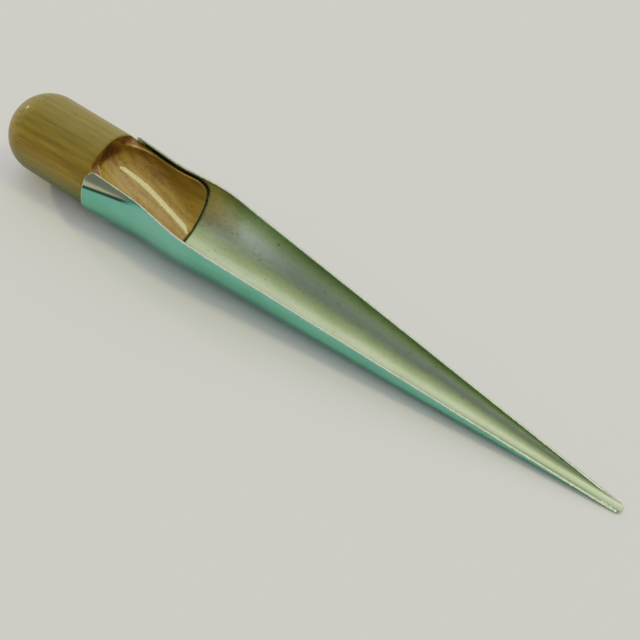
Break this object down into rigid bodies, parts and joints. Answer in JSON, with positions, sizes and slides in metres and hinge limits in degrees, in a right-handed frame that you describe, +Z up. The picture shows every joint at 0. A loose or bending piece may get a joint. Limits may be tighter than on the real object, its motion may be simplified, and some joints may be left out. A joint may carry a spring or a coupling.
{
  "type": "garden dibber",
  "caption": "Hand dibber: a long tapering steel trough blade with a narrow rounded tip, folded as a sleeve round a short domed wooden handle with a thumb scoop.",
  "frame": {"origin": "under the middle of the tool's length, on the surface it lies on, keel down", "axes": "+X along the keel from the domed handle to the tip, +Z up out of the open side of the trough, +Y across the blade"},
  "size_m": [0.271, 0.035, 0.0342],
  "materials": {
    "polished_steel": "stainless sheet, polished outside and satin inside the trough",
    "lacquered_wood": "turned hardwood with a clear lacquer, glossier in the thumb scoop",
    "screw_steel": "plain stainless wood screw"
  },
  "bodies": {
    "root": {"blade": "polished_steel", "handle": "lacquered_wood", "handle_screw_right": "screw_steel", "handle_screw_left": "screw_steel"}
  },
  "joints": []
}
